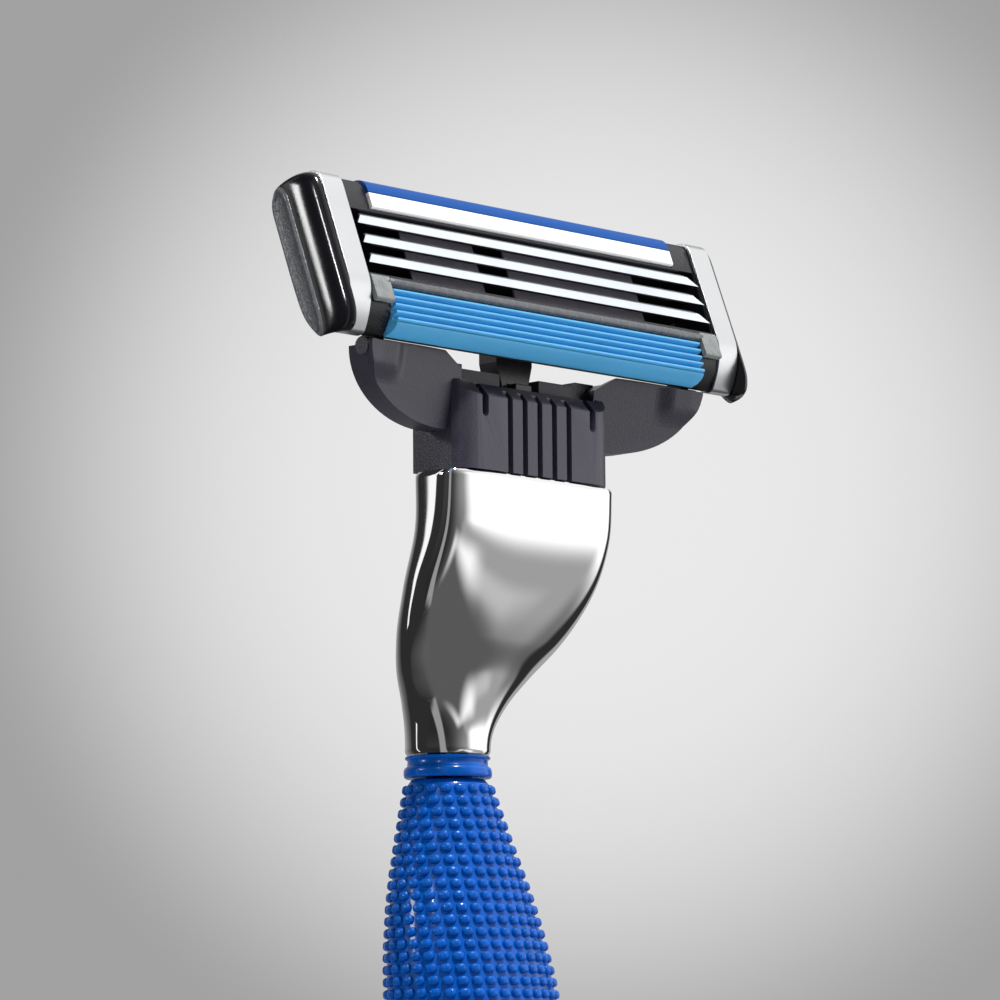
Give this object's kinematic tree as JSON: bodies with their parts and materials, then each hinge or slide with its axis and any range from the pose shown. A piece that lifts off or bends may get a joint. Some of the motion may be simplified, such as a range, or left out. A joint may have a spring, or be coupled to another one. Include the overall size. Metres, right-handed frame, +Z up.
{
  "type": "cartridge razor",
  "caption": "Wet-shaving razor: pivoting multi-blade cartridge on a push-fit yoke, chromed neck with release button, ribbed elastomer grip and chromed tail.",
  "frame": {"origin": "centre of the flat face at the lower end of the handle", "axes": "+Z up the handle to the head, +X along the blades, -Y the shaving side, so the cartridge faces -Y and leans its top towards +Y"},
  "size_m": [0.0408, 0.0151, 0.1479],
  "materials": {
    "housing_plastic": "fine-grained dark grey moulded plastic",
    "yoke_plastic": "fine-grained dark blue-grey moulded plastic",
    "black_plastic": "smooth black plastic",
    "comb_elastomer": "satin light blue elastomer",
    "grip_elastomer": "glossy deep blue elastomer with raised nubs",
    "strip_white": "satin white strip",
    "strip_blue": "satin blue strip",
    "clip_aluminium": "satin bright aluminium",
    "blade_steel": "ground and coated steel",
    "support_steel": "dull dark stamped steel",
    "spring_steel": "drawn spring wire",
    "weight_steel": "turned steel bar",
    "neck_chrome": "mirror chrome plate"
  },
  "bodies": {
    "handle": {"neck": "neck_chrome", "docking_chassis": "black_plastic", "handle_core": "black_plastic", "grip_collar": "grip_elastomer", "grip_sleeve": "grip_elastomer", "tail": "neck_chrome", "balance_weight": "weight_steel", "end_cap": "grip_elastomer", "plunger_spring": "spring_steel", "button_spring": "spring_steel"},
    "release": {"release_button": "yoke_plastic", "ejector": "black_plastic"},
    "plunger": {"plunger": "black_plastic"},
    "yoke": {"yoke": "yoke_plastic"},
    "cartridge": {"cartridge_housing": "housing_plastic", "comb_guard": "comb_elastomer", "lube_strip": "strip_white", "lube_band": "strip_blue", "clip_left": "clip_aluminium", "clip_right": "clip_aluminium"},
    "blade_unit_1": {"blade_1": "blade_steel", "blade_support_1": "support_steel"},
    "blade_unit_2": {"blade_2": "blade_steel", "blade_support_2": "support_steel"},
    "blade_unit_3": {"blade_3": "blade_steel", "blade_support_3": "support_steel"}
  },
  "joints": [
    {"name": "cartridge_dock", "type": "slide", "parent": "handle", "child": "yoke", "axis": [0, 0, 1], "range_m": [0, 0.012]},
    {"name": "cartridge_pivot", "type": "hinge", "parent": "yoke", "child": "cartridge", "pos_m": [0, -0.00884, 0.1362], "axis": [-1, 0, 0], "range_deg": [0, 42], "stiffness_Nm_per_rad": 0.01, "springref_deg": -20.05},
    {"name": "plunger_slide", "type": "slide", "parent": "handle", "child": "plunger", "axis": [0, 0, -1], "range_m": [0, 0.0024], "deforming": ["plunger_spring"]},
    {"name": "release_slide", "type": "slide", "parent": "handle", "child": "release", "axis": [0, 0, 1], "range_m": [0, 0.0025], "stiffness_N_per_m": 200, "springref_m": -0.004, "deforming": ["button_spring"]},
    {"name": "blade_press_1", "type": "slide", "parent": "cartridge", "child": "blade_unit_1", "axis": [0, 0.9342, -0.3567], "range_m": [0, 0.0002], "stiffness_N_per_m": 300, "springref_m": -0.0004},
    {"name": "blade_press_2", "type": "slide", "parent": "cartridge", "child": "blade_unit_2", "axis": [0, 0.9342, -0.3567], "range_m": [0, 0.0002], "stiffness_N_per_m": 300, "springref_m": -0.0004},
    {"name": "blade_press_3", "type": "slide", "parent": "cartridge", "child": "blade_unit_3", "axis": [0, 0.9342, -0.3567], "range_m": [0, 0.0002], "stiffness_N_per_m": 300, "springref_m": -0.0004}
  ],
  "couplings": [
    {"joint": "plunger_slide", "follows": "cartridge_pivot", "m_per_rad": 0.00323}
  ]
}
